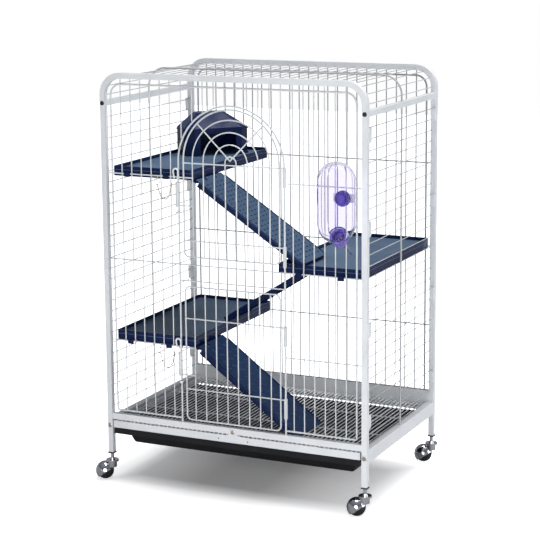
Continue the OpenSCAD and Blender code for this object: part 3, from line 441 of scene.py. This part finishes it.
def piece(name, verts, faces, body, material):
    mesh = bpy.data.meshes.new(name)
    mesh.from_pydata([tuple(v) for v in verts], [], faces)
    mesh.validate()
    obj = bpy.data.objects.new(name, mesh)
    bpy.context.scene.collection.objects.link(obj)
    clean = bmesh.new()
    clean.from_mesh(mesh)
    bmesh.ops.recalc_face_normals(clean, faces=clean.faces)
    clean.to_mesh(mesh)
    clean.free()
    mesh.materials.append(material)
    for polygon in mesh.polygons:
        polygon.use_smooth = True
    mesh.set_sharp_from_angle(angle=math.radians(SHARP_ANGLE))
    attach(obj, body)
    return obj


def join_rings(rings):
    """Faces between rings of the same number of points, closed at both ends."""
    count = len(rings[0])
    verts = [v for ring in rings for v in ring]
    faces = []
    for i in range(len(rings) - 1):
        for j in range(count):
            k = (j + 1) % count
            a = i * count
            faces.append((a + j, a + k, a + count + k, a + count + j))
    faces.append(tuple(reversed(range(count))))
    last = (len(rings) - 1) * count
    faces.append(tuple(last + j for j in range(count)))
    return verts, faces


def bar_rings(points, radius, up):
    """Rings round a path, smaller at its ends."""
    rings = []
    last = len(points) - 1
    for i, point in enumerate(points):
        before = points[max(i - 1, 0)]
        after = points[min(i + 1, last)]
        run = (after - before).normalized()
        side = run.cross(up).normalized()
        size = radius * (BAR_END if i in (0, last) else 1.0)
        ring = []
        for k in range(BAR_SIDES):
            turn = 2 * math.pi * k / BAR_SIDES
            ring.append(point + side * (size * math.cos(turn)) + up * (size * math.sin(turn)))
        rings.append(ring)
    return rings


def many_bars(name, paths, radius, up, body, material):
    verts = []
    faces = []
    for points in paths:
        ring_verts, ring_faces = join_rings(bar_rings(points, radius, up))
        base = len(verts)
        verts += ring_verts
        faces += [tuple(base + i for i in face) for face in ring_faces]
    return piece(name, verts, faces, body, material)


def grip_places(length, row_gap, step, free):
    """Row, along and across of each grip of a deck, every second row moved half a step."""
    start = free[0]
    end = length - free[1]
    rows = int((end - start) / row_gap)
    for row in range(rows + 1):
        along = start + row * (end - start) / rows
        across = free[2] if row % 2 else free[2] + step / 2
        while across < RAMP_W - free[3]:
            yield row, along, across
            across += step


def grip_dashes(ramp, length):
    """Short dashes over a deck."""
    paths = []
    for row, along, across in grip_places(length, DASH_ROW, DASH_STEP, DASH_FREE):
        tilt = DASH_TILTS[0] if (row + int(across)) % 3 else DASH_TILTS[1]
        bend = tilt * DASH_BEND
        paths.append([
            ramp.at(along - tilt, across - DASH_HALF, RAMP_TOP + DASH_END_RISE),
            ramp.at(along - bend, across - DASH_MIDDLE, RAMP_TOP + GRIP_RISE),
            ramp.at(along + bend, across + DASH_MIDDLE, RAMP_TOP + GRIP_RISE),
            ramp.at(along + tilt, across + DASH_HALF, RAMP_TOP + DASH_END_RISE),
        ])
    return paths


def wave(ramp, along, across):
    """One wave across a ramp, round the point along and across."""
    points = []
    for k in range(WAVE_PARTS + 1):
        t = k / WAVE_PARTS - 0.5
        sway = WAVE_SWAY * math.sin(2 * math.pi * t)
        points.append(ramp.at(along + sway, across + WAVE_LEN * t, RAMP_TOP + GRIP_RISE))
    return points


def grip_waves(ramp, length):
    """Short raised waves over a deck."""
    places = grip_places(length, WAVE_ROW, WAVE_STEP, WAVE_FREE)
    return [wave(ramp, along, across) for _, along, across in places]


def add_ramp_grips():
    dark = gloss_navy("ramp_grip").mat
    # Painted highlight: the waves are painted lighter than the navy, standing in for the
    # light on their crests
    light = gloss_navy("ramp_wave_painted_highlight")
    light.colour(light.mix(light.noise(30, 2), (0.03, 0.06, 0.16), (0.09, 0.14, 0.26)))
    light.uneven(60, 2, 0.1, 0.2)
    for name, ramp, length, paths, radius, paint in (
        ("upper_ramp", UPPER_RAMP, UPPER_LEN, grip_dashes, 1.05, dark),
        ("middle_ramp", MIDDLE_RAMP, MIDDLE_LEN, grip_waves, 0.9, light.mat),
        ("lower_ramp", LOWER_RAMP, LOWER_LEN, grip_waves, 0.9, light.mat),
    ):
        up = ramp.at(0, 0, 1) - ramp.at(0, 0, 0)
        many_bars(
            name + "_grips", paths(ramp, length), radius * MM, up.normalized(),
            name + "_leaf", paint)


# ---- stage ----

# Camera: place in millimetres, pitch, roll and yaw, focal length and centre in pixels,
# and widths of the picture in pixels and of the sensor
CAMERA_AT = (1653.0889, -3526.53455, 1280.81112)
CAMERA_TURN = (0.17989, -0.00988, 0.44843)
CAMERA_FOCAL = 1733.47058
CAMERA_CENTRE = (-15.0, -40.0)
PICTURE = 540.0
SENSOR = 36.0
CLIP_END = 60


def add_camera():
    pitch, roll, yaw = CAMERA_TURN
    forward = Vector((
        -math.sin(yaw) * math.cos(pitch),
        math.cos(yaw) * math.cos(pitch),
        -math.sin(pitch),
    ))
    level = Vector((math.cos(yaw), math.sin(yaw), 0))
    above = level.cross(forward)
    right = level * math.cos(roll) + above * math.sin(roll)
    up = above * math.cos(roll) - level * math.sin(roll)
    data = bpy.data.cameras.new("camera")
    camera = bpy.data.objects.new("camera", data)
    bpy.context.scene.collection.objects.link(camera)
    turn = Matrix((right, up, -forward)).transposed()
    camera.matrix_world = Matrix.Translation(at(*CAMERA_AT)) @ turn.to_4x4()
    data.sensor_width = SENSOR
    data.lens = CAMERA_FOCAL * SENSOR / PICTURE
    data.shift_x = -CAMERA_CENTRE[0] / PICTURE
    data.shift_y = CAMERA_CENTRE[1] / PICTURE
    data.clip_end = CLIP_END
    bpy.context.scene.camera = camera


# Lights: name, place, target, size, power in watts, colour
LIGHTS = (
    ("above", (0.25, 0.3, 3.2), (0.0, 0.05, 0.0), 1.8, 94, (1, 1, 1)),
    ("front", (0.75, -2.4, 0.6), (0, 0, 0.5), 1.4, 34, (1, 1, 1)),
    ("right", (2.6, 0.55, 0.8), (0, 0, 0.5), 1.4, 22, (0.97, 0.98, 1.0)),
)


def add_light(name, place, target, size, power, colour):
    data = bpy.data.lights.new(name, "AREA")
    data.size = size
    data.energy = power
    data.color = colour
    light = bpy.data.objects.new(name, data)
    bpy.context.scene.collection.objects.link(light)
    light.location = place
    aim = Vector(target) - Vector(place)
    light.rotation_euler = aim.to_track_quat("-Z", "Y").to_euler()


# Fill light of the room, and what mirrors see of it by the rise of the direction
FILL = (0.9, 0.93, 1.0)
FILL_STRENGTH = 0.16
MIRRORED = (
    (0.0, (0.2, 0.2, 0.22)),
    (0.25, (0.3, 0.31, 0.33)),
    (0.45, (0.1, 0.1, 0.12)),
    (1.0, (0.25, 0.26, 0.3)),
)


def set_background(node, colour, strength=1.0):
    node.inputs["Color"].default_value = colour + (1,)
    node.inputs["Strength"].default_value = strength
    return node


def mix_shaders(tree, fac, a, b):
    node = tree.nodes.new("ShaderNodeMixShader")
    tree.links.new(fac, node.inputs["Fac"])
    tree.links.new(a.outputs[0], node.inputs[1])
    tree.links.new(b.outputs[0], node.inputs[2])
    return node


def mirrored_room(tree):
    """Background whose colour goes by how far up a ray points."""
    coord = tree.nodes.new("ShaderNodeTexCoord")
    split = tree.nodes.new("ShaderNodeSeparateXYZ")
    tree.links.new(coord.outputs["Generated"], split.inputs["Vector"])
    ramp = tree.nodes.new("ShaderNodeValToRGB")
    marks = ramp.color_ramp.elements
    for mark, (place, colour) in zip(marks, (MIRRORED[0], MIRRORED[-1])):
        mark.position = place
        mark.color = colour + (1,)
    for place, colour in MIRRORED[1:-1]:
        marks.new(place).color = colour + (1,)
    tree.links.new(split.outputs["Z"], ramp.inputs["Fac"])
    node = tree.nodes.new("ShaderNodeBackground")
    tree.links.new(ramp.outputs["Color"], node.inputs["Color"])
    return node


def add_world():
    """White past the cage, a dim room in mirrors, and a faint fill elsewhere."""
    world = bpy.data.worlds.new("studio")
    bpy.context.scene.world = world
    world.use_nodes = True
    tree = world.node_tree
    path = tree.nodes.new("ShaderNodeLightPath").outputs
    fill = set_background(tree.nodes["Background"], FILL, FILL_STRENGTH)
    white = set_background(tree.nodes.new("ShaderNodeBackground"), (1, 1, 1))
    lit = mix_shaders(tree, path["Is Glossy Ray"], fill, mirrored_room(tree))
    seen = tree.nodes.new("ShaderNodeMath")
    seen.operation = "MAXIMUM"
    tree.links.new(path["Is Camera Ray"], seen.inputs[0])
    tree.links.new(path["Is Transmission Ray"], seen.inputs[1])
    both = mix_shaders(tree, seen.outputs[0], lit, white)
    tree.links.new(both.outputs[0], tree.nodes["World Output"].inputs["Surface"])


# Floor: its size, its whites, its colour in mirrors, and half size of the ground in shadow
FLOOR_SIZE = 14
FLOOR_WHITES = ((0.86, 0.86, 0.87), (0.9, 0.9, 0.9))
FLOOR_MIRRORED = (0.11, 0.11, 0.12)
SHADE_X = 0.3
SHADE_Y = 0.17
# Glow of the floor: the two distances that it changes between, in metres, its strength at
# each, and the part of it that mirrors see. The glow left under the cage, and the glow to the
# right and left, are painted light that lifts and lightens the cast shadow
GLOW_EDGE = (-0.04, 0.15, 0.07, 1.1)
SHADOW_LIFT_RIGHT = (0.04, 0.3, 0.0, 0.3)
SHADOW_LIFT_LEFT = (0.1, 0.3, 0.0, 0.18)
GLOW_MIRRORED = 0.15


def floor_glow(p):
    """Strength of the white, which sinks under the cage and rises to its sides; inside the
    cast shadow it is painted light.
    """
    x, y = p.split(p.coord)[:2]
    beside = p.math("SUBTRACT", p.math("ABSOLUTE", x), SHADE_X)
    before = p.math("SUBTRACT", p.math("ABSOLUTE", y), SHADE_Y)
    edge = p.ramp(p.math("MAXIMUM", beside, before), *GLOW_EDGE)
    # Painted light: more glow in the cast shadow towards its right and left
    right = p.ramp(x, *SHADOW_LIFT_RIGHT)
    left = p.ramp(p.math("MULTIPLY", x, -1.0), *SHADOW_LIFT_LEFT)
    return p.math("ADD", edge, p.math("ADD", right, left))


def add_floor():
    bpy.ops.mesh.primitive_plane_add(size=FLOOR_SIZE)
    floor = bpy.context.object
    floor.name = "studio_floor"
    p = Paint("studio_floor")
    path = p.add("ShaderNodeLightPath").outputs
    white = p.mix(p.noise(3, 2), *FLOOR_WHITES)
    p.colour(p.mix(path["Is Glossy Ray"], white, FLOOR_MIRRORED))
    p.value("Roughness", 0.8)
    seen = p.math("MAXIMUM", path["Is Camera Ray"], path["Is Transmission Ray"])
    mirrored = p.math("MULTIPLY", path["Is Glossy Ray"], GLOW_MIRRORED)
    seen = p.math("MAXIMUM", seen, mirrored)
    glow = p.add("ShaderNodeEmission")
    p.link(p.math("MULTIPLY", seen, floor_glow(p)), glow.inputs["Strength"])
    both = p.add("ShaderNodeAddShader")
    p.link(p.shader.outputs[0], both.inputs[0])
    p.link(glow.outputs[0], both.inputs[1])
    p.link(both.outputs[0], p.tree.nodes["Material Output"].inputs["Surface"])
    floor.data.materials.append(p.mat)


# ---- finish ----

add_camera()
add_world()
add_floor()
for light in LIGHTS:
    add_light(*light)

WHITE = powder_coat()
CHROME = bright_plating()
ZINC = yellow_zinc()
DARK = dark_steel()
BLACK = grained_black()
RUBBER = tread_rubber()
NAVY_GLOSS = gloss_navy().mat

assign(WHITE, *NODES)
# Painted shade: the wires are painted greyer than the frame, darkest at the rear, lighter at
# the sides and lightest at the front
assign(shaded_wire_coat("rear_wire_painted_shade", 0.36), "rear_panel")
assign(shaded_wire_coat("side_wire_painted_shade", 0.46), *SIDE_WIRES)
assign(shaded_wire_coat("front_wire_painted_shade", 0.66), *FRONT_WIRES)
assign(DARK, "upper_bolts")
assign(ZINC, "lower_bolts", "grate_screw", "upper_chain", "lower_chain")
assign(BLACK, "leg_plugs", "tray")
assign(CHROME, "bottle_spout", "caster_stems")
for corner in ("fl", "fr", "rl", "rr"):
    assign(CHROME, "caster_hood_" + corner, "caster_axle_" + corner)
    assign(RUBBER, "caster_wheel_" + corner)
assign(NAVY_GLOSS, "hut")
# Deck colours from the upper to the lower end of each ramp: painted shade to painted light
for name, ramp, high, low, length in (
    ("upper_ramp", UPPER_RAMP, SLATE_SHADED, SLATE, UPPER_LEN),
    ("middle_ramp", MIDDLE_RAMP, DECK_SHADED_BLUE, DECK_LIT_BLUE, MIDDLE_LEN),
    ("lower_ramp", LOWER_RAMP, DECK_SHADED_BLUE, DECK_LIT_BLUE, LOWER_LEN),
):
    assign(ramp_plastic(name + "_plastic", ramp, high, low, length), name)
assign(tinted_plastic(), "bottle_body")
for name, low, high, clearness in (
    ("cap", (0.2, 0.15, 0.55), (0.3, 0.24, 0.66), 0.35),
    ("knob", (0.08, 0.055, 0.28), (0.12, 0.085, 0.35), 0.1),
):
    assign(purple_plastic(name + "_purple", low, high, clearness), "bottle_" + name)
assign(bracket_finish((SHIFT_Y + BRACKET_FRONT_Y) * MM), "bottle_bracket")
add_ramp_grips()
for name, rim in (
    ("upper_shelf", UPPER_SHELF_Z),
    ("middle_shelf", MIDDLE_SHELF_Z),
    ("lower_shelf", LOWER_SHELF_Z),
):
    assign(shelf_plastic(name + "_plastic", (rim - SHELF_LIP) * MM), name)

scene = bpy.context.scene
scene.view_settings.view_transform = "Standard"
